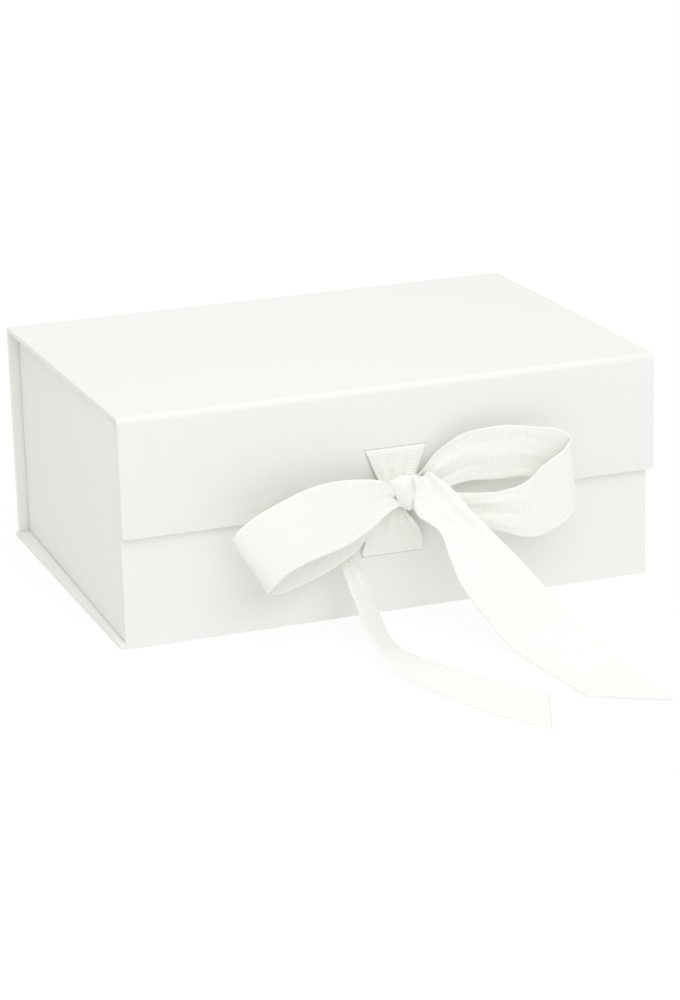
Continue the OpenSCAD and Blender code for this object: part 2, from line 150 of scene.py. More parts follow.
def paper(name, sheet_hex, fibre_hex, tooth_mm, rough):
    """Matt, faintly mottled paper. Its real fibres are finer than tooth_mm, and wouldn't show."""
    material, tree = new_material(name)
    place = add(tree, "ShaderNodeTexCoord").outputs["Object"]
    fibres = add(tree, "ShaderNodeTexNoise", {"Vector": place},
                 {"Scale": 1 / (tooth_mm * MM), "Detail": 4, "Roughness": 0.7})
    clouds = add(tree, "ShaderNodeTexNoise", {"Vector": place},
                 {"Scale": 1 / (GLUE_PATCH_MM * MM), "Detail": 2, "Roughness": 0.5})
    tint = add(tree, "ShaderNodeMix", {"Factor": fibres.outputs["Fac"]}, data_type="RGBA")
    tint.inputs["A"].default_value = colour(sheet_hex)
    tint.inputs["B"].default_value = colour(fibre_hex)
    uneven = add(tree, "ShaderNodeBump", {"Height": clouds.outputs["Fac"]},
                 {"Strength": 0.5, "Distance": 0.35 * MM})
    tooth = add(tree, "ShaderNodeBump",
                {"Height": fibres.outputs["Fac"], "Normal": uneven.outputs["Normal"]},
                {"Strength": 0.35, "Distance": 0.03 * MM})
    shader = add(tree, "ShaderNodeBsdfPrincipled",
                 {"Base Color": tint.outputs["Result"], "Normal": tooth.outputs["Normal"]},
                 {"Roughness": rough, "IOR": 1.45, "Specular IOR Level": 0.3})
    finish_material(tree, shader)
    return material


OUTER_PAPER = paper("uncoated_wrapping_paper", "#f1f2ee", "#e9eae5", 0.6, 0.72)
LINING_PAPER = paper("uncoated_lining_paper", "#ecece7", "#e4e4de", 0.5, 0.8)
print("papers:", OUTER_PAPER.name, LINING_PAPER.name)

# %% [markdown]
# Greyboard is pressed from waste paper: grey-brown, with darker flecks about a millimetre
# across. Paper covers it on every side, so it is seen only where a panel is taken apart.
# The magnets are discs plated with nickel, a mirror that handling has dulled with fine
# scratches. Noise and a colour ramp make both: the ramp gives the two colours that the
# noise runs between.

# %% Greyboard and magnet materials
FLECK_MM, SCRATCH_MM = 1.0, 0.8


def greyboard():
    material, tree = new_material("pressed_greyboard")
    place = add(tree, "ShaderNodeTexCoord").outputs["Object"]
    flecks = add(tree, "ShaderNodeTexNoise", {"Vector": place},
                 {"Scale": 1 / (FLECK_MM * MM), "Detail": 5, "Roughness": 0.75})
    ramp = add(tree, "ShaderNodeValToRGB", {"Fac": flecks.outputs["Fac"]})
    ramp.color_ramp.elements[0].color = colour("#8b8479")
    ramp.color_ramp.elements[1].color = colour("#b5aea2")
    bump = add(tree, "ShaderNodeBump", {"Height": flecks.outputs["Fac"]},
               {"Strength": 0.5, "Distance": 0.08 * MM})
    finish_material(tree, add(tree, "ShaderNodeBsdfPrincipled",
                              {"Base Color": ramp.outputs["Color"], "Normal": bump.outputs["Normal"]},
                              {"Roughness": 0.9, "IOR": 1.45, "Specular IOR Level": 0.2}))
    return material


def nickel_plate():
    material, tree = new_material("nickel_plated_magnet")
    place = add(tree, "ShaderNodeTexCoord").outputs["Object"]
    scratches = add(tree, "ShaderNodeTexNoise", {"Vector": place},
                    {"Scale": 1 / (SCRATCH_MM * MM), "Detail": 3, "Roughness": 0.6})
    ramp = add(tree, "ShaderNodeValToRGB", {"Fac": scratches.outputs["Fac"]})
    ramp.color_ramp.elements[0].color = colour("#9fa2a6")
    ramp.color_ramp.elements[1].color = colour("#c3c6ca")
    finish_material(tree, add(tree, "ShaderNodeBsdfPrincipled",
                              {"Base Color": ramp.outputs["Color"]}, {"Metallic": 1, "Roughness": 0.3}))
    return material


GREYBOARD, MAGNET = greyboard(), nickel_plate()
print("hidden materials:", GREYBOARD.name, MAGNET.name)

# %% [markdown]
# The boards, the linings, the glued strips and the magnets are plain pieces that the CAD
# model already holds at their true size. Making them again would add nothing, so they keep
# their solids and only get a material, chosen by the end of each piece's name.

# %% Materials for the pieces that stay as they are
FINISHES = {"_board": GREYBOARD, "_magnets": MAGNET, "_liner": LINING_PAPER, "_tab": LINING_PAPER}


def give(node, material):
    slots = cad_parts[node].data.materials
    slots.clear()
    slots.append(material)


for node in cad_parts:
    for ending, material in FINISHES.items():
        if node.endswith(ending):
            give(node, material)
            print(node, "is", material.name)

# %% [markdown]
# The board panels are all made the same way: a sheet of outer paper is wrapped round the
# board's edges and turned in over its inner face, where a smaller lining covers the rest.
# The paper can't fold sharper than its own thickness and the board's cut edge, so every
# edge is round, about half a millimetre. A bevel modifier would round the joints between
# panels too, so the panels are built with bmesh: a cube is stretched to the panel, and only
# the edges that are free are bevelled.

# %% Sizes of the panels
WRAP, BOARD, LINER = 0.3 * MM, 2.0 * MM, 0.2 * MM
PANEL = WRAP + BOARD + LINER
TURN_IN, EDGE_R = 3.0 * MM, 0.5 * MM
print("panel %.1f mm thick" % (PANEL / MM))

# %% Helpers for meshes
SMOOTH_DEG = 50


def to_object(bm, name, material, smooth_deg=SMOOTH_DEG):
    """An object of the finished bmesh, shaded smooth over edges that turn less than this."""
    bmesh.ops.recalc_face_normals(bm, faces=bm.faces)
    mesh = bpy.data.meshes.new(name)
    bm.to_mesh(mesh)
    bm.free()
    mesh.materials.append(material)
    for polygon in mesh.polygons:
        polygon.use_smooth = True
    mesh.set_sharp_from_angle(angle=math.radians(smooth_deg))
    piece = bpy.data.objects.new(name, mesh)
    bpy.context.collection.objects.link(piece)
    return piece


def near(a, b, tolerance=0.001 * MM):
    return abs(a - b) < tolerance


print("a wrapped edge has a radius of %.1f mm" % (EDGE_R / MM))

# %% [markdown]
# One sheet of paper runs over both folds of the lid and down over the front and back edges
# of the base, so a panel isn't rounded on a side where its paper goes on to the next one.
# `joined` names those sides. Where the paper goes on down over the base, the bottom edge
# gets a skirt: the strip of its end face that belongs to the paper is cut off and extruded.

# %% A skirt
SIDES = {"left": (0, -1), "right": (0, 1), "bottom": (1, -1), "top": (1, 1)}
ON_FACE = 0.01 * MM


def lies_on(edge, side, half):
    axis, sign = SIDES[side]
    return all(near(v.co[axis], sign * half[axis], ON_FACE) for v in edge.verts)


def slice_at(bm, geom, point, normal):
    bmesh.ops.bisect_plane(bm, geom=geom, plane_co=point, plane_no=normal)


def add_skirt(bm, height, length):
    """Let the paper go on past the bottom edge by this length."""
    end = min(bm.faces, key=lambda f: f.calc_center_median().y)
    slice_at(bm, [end] + list(end.edges) + list(end.verts), (0, 0, WRAP), (0, 0, 1))
    strip = min((f for f in bm.faces if near(f.calc_center_median().y, -height / 2, ON_FACE)),
                key=lambda f: f.calc_center_median().z)
    made = bmesh.ops.extrude_face_region(bm, geom=[strip])
    moved = [v for v in made["geom"] if isinstance(v, bmesh.types.BMVert)]
    bmesh.ops.translate(bm, vec=(0, -length, 0), verts=moved)
    bmesh.ops.delete(bm, geom=[strip], context="FACES_ONLY")


print("sides of a panel:", ", ".join(SIDES))

# %% [markdown]
# The ribbon comes out of two slits. A boolean could cut them, but it leaves uneven faces.
# Here four planes cut out a small face on each side of the panel, known by a normal that
# faces out of it. The two are deleted, and their rims are bridged.

# %% A slit
SLIT_WIDE, SLIT_HIGH = 26.1 * MM, 0.5 * MM
FACING = 0.9


def cut_slit(bm, wide, high, rise):
    """Cut a slit right through the panel, at a height above its middle."""
    for x in (-wide / 2, wide / 2):
        slice_at(bm, bm.verts[:] + bm.edges[:] + bm.faces[:], (x, 0, 0), (1, 0, 0))
    for y in (rise - high / 2, rise + high / 2):
        slice_at(bm, bm.verts[:] + bm.edges[:] + bm.faces[:], (0, y, 0), (0, 1, 0))
    gone = [f for f in bm.faces if abs(f.normal.z) > FACING
            and abs(f.calc_center_median().x) < wide / 2
            and abs(f.calc_center_median().y - rise) < high / 2]
    rims = [list(f.edges) for f in gone]
    bmesh.ops.delete(bm, geom=gone, context="FACES_ONLY")
    bmesh.ops.bridge_loops(bm, edges=[e for rim in rims for e in rim])


print("a slit is %.1f mm wide and %.1f mm high" % (SLIT_WIDE / MM, SLIT_HIGH / MM))

# %% [markdown]
# Inside the box, the lining is glued over the ends of the outer paper that is turned in
# round the board. The panel could keep a flat inner face, but then its paper and the lining
# would take up the same space. So the inner face is inset by the turned-in border and
# pushed in by the lining's thickness, with a steep edge, which makes a bed for the lining.

# %% A bed for the lining
BED_EDGE, WELD = LINER / 20, LINER / 100


def press_bed(bm, half, end_turn_in):
    """Inset the inner face by its bare border, which may be wider at the left and right."""
    inner = max(bm.faces, key=lambda f: (round(f.calc_center_median().z / MM, 2), f.calc_area()))
    bmesh.ops.inset_region(bm, faces=[inner], thickness=TURN_IN - EDGE_R, use_even_offset=True)
    for vert in inner.verts:
        vert.co.x = math.copysign(half[0] - end_turn_in, vert.co.x)
        vert.co.y = math.copysign(half[1] - TURN_IN, vert.co.y)
    bmesh.ops.inset_region(bm, faces=[inner], thickness=BED_EDGE, depth=-LINER)
    bmesh.ops.remove_doubles(bm, verts=bm.verts, dist=WELD)


print("a panel is bare for %.1f mm round its lining" % (TURN_IN / MM))

# %% A wrapped panel, lying flat with its outer face at height zero
SHARP_DEG = 40


def wrapped_panel(width, height, joined=(), corners=(), corner_r=0.0, end_turn_in=TURN_IN,
                  slit=None, skirt=0.0):
    """A bmesh of the outer paper. corners names the corners to round, such as (1, -1)."""
    half = (width / 2, height / 2)
    bm = bmesh.new()
    bmesh.ops.create_cube(bm, size=1)
    bmesh.ops.scale(bm, vec=(width, height, PANEL), verts=bm.verts)
    bmesh.ops.translate(bm, vec=(0, 0, PANEL / 2), verts=bm.verts)
    upright = [e for e in bm.edges if any(
        all(near(v.co.x, sx * half[0]) and near(v.co.y, sy * half[1]) for v in e.verts)
        for sx, sy in corners)]
    if upright:
        bmesh.ops.bevel(bm, geom=upright, offset=corner_r, segments=6, affect="EDGES",
                        profile=0.5, material=-1)
    free = [e for e in bm.edges if e.calc_face_angle(0) > math.radians(SHARP_DEG)
            and not any(lies_on(e, side, half) for side in joined)]
    bmesh.ops.bevel(bm, geom=free, offset=EDGE_R, segments=3, affect="EDGES",
                    profile=0.5, material=-1)
    press_bed(bm, half, end_turn_in)
    if skirt:
        add_skirt(bm, height, skirt)
    if slit:
        cut_slit(bm, *slit)
    return bm


print("edges that turn more than %d degrees are rounded" % SHARP_DEG)

# %% [markdown]
# Each panel is built lying flat and then put in its place by a matrix, as its CAD board is.
# The matrix is used on the mesh itself, so the finished object sits at the origin, like
# the CAD pieces. Sizes are read from the pieces that the panels replace, so they follow
# the model.

# %% Placing a panel
X, Y, Z = Vector((1, 0, 0)), Vector((0, 1, 0)), Vector((0, 0, 1))


def frame_of(across, up, inward, at):
    """A matrix that takes a flat panel's X, Y and Z to these directions, and its middle to at."""
    turn = Matrix((across, up, inward)).transposed().to_4x4()
    return Matrix.Translation(at) @ turn


def middle(node):
    low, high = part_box(node)
    return (low + high) / 2, high - low


def stand_for(piece, body, slot, *nodes):
    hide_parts(*nodes)
    if body:
        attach(piece, body)


def place_panel(name, node, body, matrix, width, height, **options):
    bm = wrapped_panel(width, height, **options)
    bmesh.ops.transform(bm, matrix=matrix, verts=bm.verts)
    panel = to_object(bm, name, OUTER_PAPER)
    stand_for(panel, body, "outer_paper", node)
    print(name, "%.1f x %.1f mm, %d faces" % (width / MM, height / MM, len(panel.data.polygons)))
    return panel


print("the lid is %.1f x %.1f mm" % tuple(side / MM for side in middle("lid_wrap")[1][:2]))

# %% [markdown]
# The base and the lid lie flat. The base keeps a wide bare border at its two ends,
# FOOT_TURN_IN, where the side walls are glued down. The lid's paper goes on over both of
# its folds, so only its left and right edges are rounded. Its left edge could stay parallel
# to the right one, but on this hand-made box it lies flush with the back panel at the rear,
# so it is let out there by REAR_OUT, by moving its vertices in proportion to their place.

# %% The base and the lid
FOOT_TURN_IN, REAR_OUT = 8.0 * MM, 0.9 * MM

at, size = middle("base_wrap")
place_panel("base_paper", "base_wrap", "tray", frame_of(X, Y, Z, (at.x, at.y, 0)), size.x, size.y,
            end_turn_in=FOOT_TURN_IN)

at, size = middle("lid_wrap")
lid_paper = place_panel("lid_paper", "lid_wrap", "lid",
                        frame_of(X, Y, -Z, (at.x, at.y, at.z + size.z / 2)),
                        size.x, size.y, joined=["top", "bottom"])
for vert in lid_paper.data.vertices:
    if vert.co.x < 0:
        vert.co.x -= REAR_OUT * (vert.co.y - at.y + size.y / 2) / size.y

# %% [markdown]
# The flap closes over the front wall. Each has a slit for the ribbon, and the flap's paper
# is folded round its two lower corners, which makes them rounder than its edges. A corner
# could be rounded along with the edges, but all at one radius, so the upright edges of the
# cube are bevelled first. The wall's skirt is the paper that goes on down to the table.

# %% The flap and the front wall, with their slits
UPPER_SLIT_Z, LOWER_SLIT_Z = 70.0 * MM, 24.6 * MM
FLAP_CORNER_R = 1.5 * MM

at, size = middle("flap_wrap")
place_panel("flap_paper", "flap_wrap", "flap", frame_of(X, Z, Y, (at.x, at.y - size.y / 2, at.z)),
            size.x, size.z, joined=["top"], corners=[(1, -1), (-1, -1)], corner_r=FLAP_CORNER_R,
            slit=(SLIT_WIDE, SLIT_HIGH, UPPER_SLIT_Z - at.z))

at, size = middle("front_wrap")
front_high = size.z - PANEL
front_mid = PANEL + front_high / 2
place_panel("front_paper", "front_wrap", "tray", frame_of(X, Z, Y, (at.x, at.y - size.y / 2, front_mid)),
            size.x, front_high, joined=["bottom"], skirt=PANEL,
            slit=(SLIT_WIDE, SLIT_HIGH, LOWER_SLIT_Z - front_mid))

# %% [markdown]
# The back panel is as wide as the base and has the same wide border. The side walls stand
# between it and the front wall. They lean in a little towards the back, by SIDE_TOE_IN over
# a wall's SIDE_RUN, so their matrix also has a turn. Turning the finished objects would
# look the same, but would leave them turned. Their paper goes SIDE_RISE higher than the CAD
# model's, to meet the lid's soft edge.

# %% The back panel and the leaning side walls
SIDE_RISE = 0.25 * MM
SIDE_TOE_IN, SIDE_RUN = 3.4 * MM, 156.35 * MM

at, size = middle("back_wrap")
back_high = size.z - PANEL
place_panel("back_paper", "back_wrap", "tray",
            frame_of(X, Z, -Y, (at.x, at.y + size.y / 2, PANEL + back_high / 2)),
            size.x, back_high, joined=["top", "bottom"], end_turn_in=FOOT_TURN_IN, skirt=PANEL)

for side, name in ((-1, "left_side"), (1, "right_side")):
    at, size = middle(name + "_wrap")
    lean = math.asin(SIDE_TOE_IN / SIDE_RUN) * side
    # a leaning wall's box is as deep as the wall's run and its turned thickness together
    run = (size.y - PANEL * math.sin(abs(lean))) / math.cos(lean)
    along = Vector((-math.sin(lean), math.cos(lean), 0))
    inward = Vector((-side * math.cos(lean), -side * math.sin(lean), 0))
    place_panel(name + "_paper", name + "_wrap", "tray",
                frame_of(along, Z, inward, at - inward * PANEL / 2 + Z * SIDE_RISE / 2),
                run, size.z + SIDE_RISE)

# %% [markdown]
# The two folds are the same paper, rolled over the ends of the boards. The front one is the
# bright rounded band along the top of the flap. Each is a quarter of a tube, closed like
# the wrapped edges beside it. A large bevel on a panel would round it as well, but a fold
# belongs to two panels that swing apart, so it is a bar of its own: a rounded outline is
# drawn, extruded along the box, and rounded at its ends. On each side of the round it runs
# on flat for the groove, the bare paper beside the end of a board.

# %% A fold
FOLD_R, FOLD_STEPS, FOLD_WIDE = 2.6 * MM, 10, 230.0 * MM
AXIS_Z, FRONT_AXIS_Y, BACK_AXIS_Y = 92.9 * MM, -81.1 * MM, 78.4 * MM


def fold_bar(name, node, middle_x, axis_y, way, groove):
    """way is -1 where the fold faces the front and 1 where it faces the back."""
    outline = [(-groove, 0), (-groove, FOLD_R)]
    for step in range(FOLD_STEPS + 1):
        turn = math.radians(90 * step / FOLD_STEPS)
        outline.append((FOLD_R * math.sin(turn), FOLD_R * math.cos(turn)))
    outline += [(FOLD_R, -groove), (0, -groove), (0, 0)]
    bm = bmesh.new()
    left_x = middle_x - FOLD_WIDE / 2
    end = bm.faces.new([bm.verts.new((left_x, axis_y + way * u, AXIS_Z + w)) for u, w in outline])
    made = bmesh.ops.extrude_face_region(bm, geom=[end])
    bmesh.ops.translate(bm, vec=(FOLD_WIDE, 0, 0),
                        verts=[v for v in made["geom"] if isinstance(v, bmesh.types.BMVert)])

    def outer(vert):
        u, w = (vert.co.y - axis_y) * way, vert.co.z - AXIS_Z
        return near(max(u, w), FOLD_R, ON_FACE) or near(math.hypot(u, w), FOLD_R, ON_FACE)

    rims = [e for e in bm.edges if near(e.verts[0].co.x, e.verts[1].co.x)
            and outer(e.verts[0]) and outer(e.verts[1])]
    bmesh.ops.bevel(bm, geom=rims, offset=EDGE_R, segments=3, affect="EDGES",
                    profile=0.5, material=-1)
    bar = to_object(bm, name, OUTER_PAPER)
    stand_for(bar, None, "outer_paper", node)
    return bar


print("a fold is %.1f mm wide, with a radius of %.1f mm" % (FOLD_WIDE / MM, FOLD_R / MM))

# %% [markdown]
# The lid lies a little to the right of the base, and the back panel too, so the folds are
# shifted with them.

# %% The front and the back fold
LID_SHIFT, BACK_SHIFT = 2.1 * MM, 1.2 * MM
FLAP_GROOVE, HINGE_GROOVE = 0.4 * MM, 1.7 * MM

front_fold = fold_bar("front_fold_paper", "flap_hinge_paper", LID_SHIFT, FRONT_AXIS_Y, -1,
                      FLAP_GROOVE)
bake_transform(front_fold)
back_fold = fold_bar("back_fold_paper", "lid_hinge_paper", BACK_SHIFT, BACK_AXIS_Y, 1,
                     HINGE_GROOVE)
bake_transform(back_fold)
print("faces of the folds:", len(front_fold.data.polygons), len(back_fold.data.polygons))

# %% [markdown]
# The ribbon is grosgrain, a ribbed polyester ribbon 25.5 mm wide. Thick weft threads make
# the ribs that cross it, about 1 mm apart, and a smooth narrow selvedge closes each edge.
# Ribs of real geometry would need several rows of vertices each, so a wave texture bumps
# them and tints them. The tint is painted light and shade: the grooves between the ribs get
# the darker colour, painted shade, and the ridges and the smooth selvedge the lighter one,
# painted light. The pattern reads the ribbon's own UV map, in millimetres, with X across and
# Y along, so that the ribs follow each twist and pleat. Loose fibres of the polyester catch
# a little light at the edge of a curve, which the sheen gives. Single threads would be too
# fine to show, so they are drawn coarser, THREAD_MM across.

# %% Ribbon material
RIBBON_WIDE = 25.5 * MM
RIB_MM, SELVEDGE_MM, THREAD_MM = 1.0, 0.7, 0.35


def grosgrain():
    material, tree = new_material("woven_grosgrain_ribbon")
    place = add(tree, "ShaderNodeUVMap", uv_map="cloth_mm").outputs["UV"]
    across = add(tree, "ShaderNodeSeparateXYZ", {"Vector": place}).outputs["X"]
    # a band wave repeats every 2 pi / (20 x scale)
    ribs = add(tree, "ShaderNodeTexWave", {"Vector": place},
               {"Scale": 2 * math.pi / (20 * RIB_MM), "Distortion": 0.4, "Detail": 1,
                "Detail Scale": 0.7}, wave_type="BANDS", bands_direction="Y").outputs["Fac"]
    threads = add(tree, "ShaderNodeTexNoise", {"Vector": place},
                  {"Scale": 1 / THREAD_MM, "Detail": 3, "Roughness": 0.6}).outputs["Fac"]
    body = math_node(tree, "LESS_THAN", math_node(tree, "ABSOLUTE", across),
                     RIBBON_WIDE / MM / 2 - SELVEDGE_MM)
    ribbed = math_node(tree, "MULTIPLY", ribs, body)
    # painted light and shade: the lighter tint on the ridges of the ribs and on the selvedge, the darker
    # one in the grooves between the ribs
    painted_rib_and_selvedge_light = math_node(tree, "MAXIMUM", ribs, math_node(tree, "SUBTRACT", 1, body))
    tint = add(tree, "ShaderNodeMix", {"Factor": painted_rib_and_selvedge_light}, data_type="RGBA")
    tint.inputs["A"].default_value = colour("#ecece6")
    tint.inputs["B"].default_value = colour("#f8f8f4")
    rib_bump = add(tree, "ShaderNodeBump", {"Height": ribbed},
                   {"Strength": 0.6, "Distance": 0.14 * MM})
    thread_bump = add(tree, "ShaderNodeBump",
                      {"Height": threads, "Normal": rib_bump.outputs["Normal"]},
                      {"Strength": 0.08, "Distance": 0.05 * MM})
    finish_material(tree, add(tree, "ShaderNodeBsdfPrincipled",
                              {"Base Color": tint.outputs["Result"],
                               "Normal": thread_bump.outputs["Normal"]},
                              {"Roughness": 0.62, "IOR": 1.5, "Specular IOR Level": 0.2,
                               "Sheen Weight": 0.2, "Sheen Roughness": 0.5}))
    return material


GROSGRAIN = grosgrain()
print("ribs across %.1f mm of ribbon, %.1f mm apart" % (RIBBON_WIDE / MM, RIB_MM))

# %% [markdown]
# A strip of ribbon is a grid that is laid along a curve. Simulated cloth would fall in
# folds of its own, and a tied bow has to be this bow, so the strips are laid along listed
# rows. Each row of numbers is a place on the ribbon's middle line in millimetres (x, y, z),
# the direction across it there (x, y, z), and the share of its width that shows. Where the
# share is small the ribbon is gathered, and the rest of its width goes into pleats. A
# smooth curve runs through the rows.

# %% A smooth curve through rows
CURVE_STEPS = 2000


def row_at(rows, t):
    """The row at t, from 0 to 1, on a smooth curve through all the rows."""
    last = len(rows) - 1
    k = min(int(t * last), last - 1)
    u = t * last - k
    b, c = rows[k], rows[k + 1]
    a = rows[k - 1] if k > 0 else [2 * q - r for q, r in zip(b, c)]
    d = rows[k + 2] if k < last - 1 else [2 * r - q for q, r in zip(b, c)]
    return [(2 * q + (r - p) * u + (2 * p - 5 * q + 4 * r - s) * u * u
             + (3 * q - p - 3 * r + s) * u ** 3) / 2 for p, q, r, s in zip(a, b, c, d)]


def even_rows(rows, step):
    """Rows at equal lengths along the middle line, and the whole length."""
    fine = [row_at(rows, i / CURVE_STEPS) for i in range(CURVE_STEPS + 1)]
    run = [0.0]
    for one, two in zip(fine, fine[1:]):
        run.append(run[-1] + (Vector(two[:3]) - Vector(one[:3])).length * MM)
    count = max(4, round(run[-1] / step))
    picked, at_fine = [], 0
    for i in range(count + 1):
        while at_fine < CURVE_STEPS and run[at_fine] < run[-1] * i / count:
            at_fine += 1
        picked.append(fine[at_fine])
    return picked, run[-1]


print("a curve has %d steps" % CURVE_STEPS)

# %% [markdown]
# Where the ribbon is drawn together it lies in pleats. Noise could push its surface about,
# but then nothing would run along the ribbon. The pleats here are a sum of waves across
# it: a few main ones, and finer ones that break them up. The main ones drift a little
# sideways along the ribbon, as real gathers do.

# %% Pleats
DRIFT, DRIFT_LENGTH = 0.04, 9 * MM
FINE_FOLDS, FINEST_FOLDS = 0.3, 0.12


def pleat(s, along, waves, seed):
    """The height of the folds at s, from -0.5 to 0.5 across the ribbon."""
    drift = DRIFT * math.sin(along / DRIFT_LENGTH + seed)
    return (math.cos(2 * math.pi * waves * (s + drift))
            + FINE_FOLDS * math.cos(2 * math.pi * (2 * waves + 1) * (s - drift) + seed)
            + FINEST_FOLDS * math.sin(2 * math.pi * (4 * waves + 1) * s + 2 * seed))


print("pleats across a ribbon:", ["%.2f" % pleat(s / 4, 0, 2, 0) for s in range(-2, 3)])

# %% [markdown]
# A strip starts as a flat grid with one row for each millimetre of its length. Each vertex
# moves to its place across the row, and then up or down by the pleats.

# %% A strip of ribbon
RIBBON_T, PLEAT_DEG = 0.35 * MM, 80
COLUMNS, STEP, NEXT_SHARE = 32, 1.0 * MM, 0.01


def ribbon_strip(name, rows, nodes, body, cut=0.0, waves=3, fold_mm=3.0,
                 bow_mm=0.0, dome_mm=0.0, seed=0.0, wide=RIBBON_WIDE):
    """cut slants the end, bow_mm bends the ribs, and dome_mm rounds the strip to the front."""
    picked, length = even_rows(rows, STEP)
    count = len(picked) - 1
    bm = bmesh.new()
    uv = bm.loops.layers.uv.new("cloth_mm")
    bmesh.ops.create_grid(bm, x_segments=COLUMNS, y_segments=count, size=0.5)
    places = {}
    for vert in bm.verts:
        s, share = vert.co.x, (vert.co.y + 0.5) * (1 - cut * (0.5 - vert.co.x))
        row = row_at(picked, share)
        ahead = Vector(row_at(picked, min(share + NEXT_SHARE, 1))[:3])
        behind = Vector(row_at(picked, max(share - NEXT_SHARE, 0))[:3])
        side = Vector(row[3:6]).normalized()
        face = (ahead - behind).cross(side).normalized()
        gather = max(0.0, 1 - row[6])
        folds = fold_mm * gather * pleat(s, share * length, waves, seed) / 2
        # the threads at the edges take a longer way round, so the ribs bend
        places[vert] = (s * wide / MM, share * length / MM + bow_mm * gather * (2 * s) ** 2)
        vert.co = Vector(row[:3]) * MM + side * wide * row[6] * s + face * folds * MM
        vert.co -= Y * dome_mm * (0.5 - (2 * s) ** 2) * MM
    for polygon in bm.faces:
        for loop in polygon.loops:
            loop[uv].uv = places[loop.vert]
    strip = to_object(bm, name, GROSGRAIN, smooth_deg=PLEAT_DEG)
    thick = strip.modifiers.new("thickness", "SOLIDIFY")
    thick.thickness, thick.offset = RIBBON_T, 0
    stand_for(strip, body, "ribbon", *nodes)
    print(name, "%.1f mm long, %d faces" % (length / MM, len(strip.data.polygons)))
    return strip


# %% [markdown]
# The bow's own rows follow the photograph. Each loop could be one half of a mirrored pair,
# but on the real bow no two are alike. The left one leaves the knot in front, turns and
# comes back behind, and it is seen from its closed side. It leans back a little at the top,
# which is what catches the light.

# %% The left loop
LEFT_LOOP = [
    (1.0, -93.2, 52.1, -0.07, 0.05, 1.00, 0.31),
    (-2.2, -94.9, 52.6, -0.11, 0.03, 0.99, 0.29),
    (-5.5, -95.9, 53.5, -0.02, 0.12, 0.99, 0.43),
    (-10.1, -97.0, 53.3, 0.02, 0.21, 0.98, 0.61),
    (-17.1, -98.5, 52.0, 0.03, 0.26, 0.97, 0.83),
    (-28.2, -101.1, 51.0, -0.07, 0.29, 0.95, 1.02),
    (-39.7, -103.7, 49.7, -0.16, 0.29, 0.95, 1.06),
    (-50.8, -105.8, 47.0, -0.24, 0.28, 0.93, 1.03),
    (-60.0, -107.5, 43.7, -0.35, 0.22, 0.91, 1.04),
    (-65.9, -107.2, 39.2, -0.44, 0.12, 0.89, 1.08),
    (-67.4, -104.5, 35.3, -0.50, 0.02, 0.86, 1.09),
    (-64.7, -101.0, 33.1, -0.53, -0.04, 0.85, 1.11),
    (-58.4, -98.3, 33.0, -0.49, -0.02, 0.87, 1.12),
    (-49.1, -95.9, 35.1, -0.42, 0.02, 0.91, 1.12),
    (-35.8, -93.0, 37.8, -0.27, 0.11, 0.96, 1.04),
    (-20.7, -91.0, 41.7, -0.08, 0.14, 0.99, 0.87),
    (-11.8, -89.8, 46.3, 0.01, 0.14, 0.99, 0.70),
    (-4.7, -88.8, 50.4, -0.02, 0.12, 0.99, 0.48),
    (1.1, -88.0, 51.8, 0.02, 0.11, 0.99, 0.37),
]
ribbon_strip("left_loop", LEFT_LOOP, ["bow_left_loop"], "flap",
             waves=1, fold_mm=2.2, bow_mm=3.0, seed=1.0)

# %% [markdown]
# The right loop leaves the knot behind, under the right tail, turns and comes back in
# front. It stands open, so its inside shows, and its front part dips and curls on its way
# back. That is why its rows lie closer together than the left loop's.

# %% The right loop
RIGHT_LOOP = [
    (4.1, -89.8, 53.6, -0.19, 0.00, 0.98, 0.33),
    (9.9, -89.5, 54.4, -0.22, 0.02, 0.98, 0.38),
    (14.0, -89.5, 56.6, -0.23, 0.02, 0.97, 0.47),
    (19.5, -90.1, 60.2, -0.18, 0.15, 0.97, 0.61),
    (30.2, -91.0, 64.3, -0.06, 0.09, 0.99, 0.78),
    (43.8, -92.9, 64.9, 0.07, 0.11, 0.99, 0.86),
    (52.2, -94.2, 64.8, 0.06, 0.10, 0.99, 0.82),
    (59.9, -95.4, 63.3, 0.08, 0.08, 0.99, 0.84),
    (67.1, -96.2, 60.8, 0.03, 0.05, 1.00, 0.95),
    (71.9, -97.4, 57.8, -0.01, 0.08, 1.00, 1.00),
    (73.1, -99.8, 55.5, -0.07, 0.09, 0.99, 1.01),
    (70.2, -102.3, 52.6, -0.16, 0.12, 0.98, 0.99),
    (66.3, -103.8, 50.4, -0.16, 0.14, 0.98, 1.03),
    (62.5, -104.5, 48.4, -0.14, 0.15, 0.98, 1.05),
    (58.6, -104.2, 46.2, -0.11, 0.17, 0.98, 1.03),
    (54.6, -103.8, 43.6, -0.07, 0.18, 0.98, 0.95),
    (48.1, -104.8, 42.9, -0.02, 0.14, 0.99, 0.83),
    (41.8, -104.4, 43.6, 0.04, 0.10, 0.99, 0.70),
    (35.5, -102.8, 44.2, 0.10, 0.04, 0.99, 0.59),
    (23.6, -95.6, 44.0, 0.08, 0.00, 1.00, 0.56),
    (12.1, -91.0, 47.8, 0.18, 0.00, 0.98, 0.41),
    (5.4, -89.6, 50.2, 0.11, 0.00, 0.99, 0.36),
]
ribbon_strip("right_loop", RIGHT_LOOP, ["bow_right_loop"], "flap",
             waves=2, fold_mm=2.4, bow_mm=4.0, seed=2.3)

# %% [markdown]
# The two tails come down from the knot to the table and run on towards the camera. Their
# ends are cut on a slant, so that they don't fray, which `cut` does by ending the rows
# sooner on one side. The left tail comes out under the left loop, and gathers and turns
# over on its way.

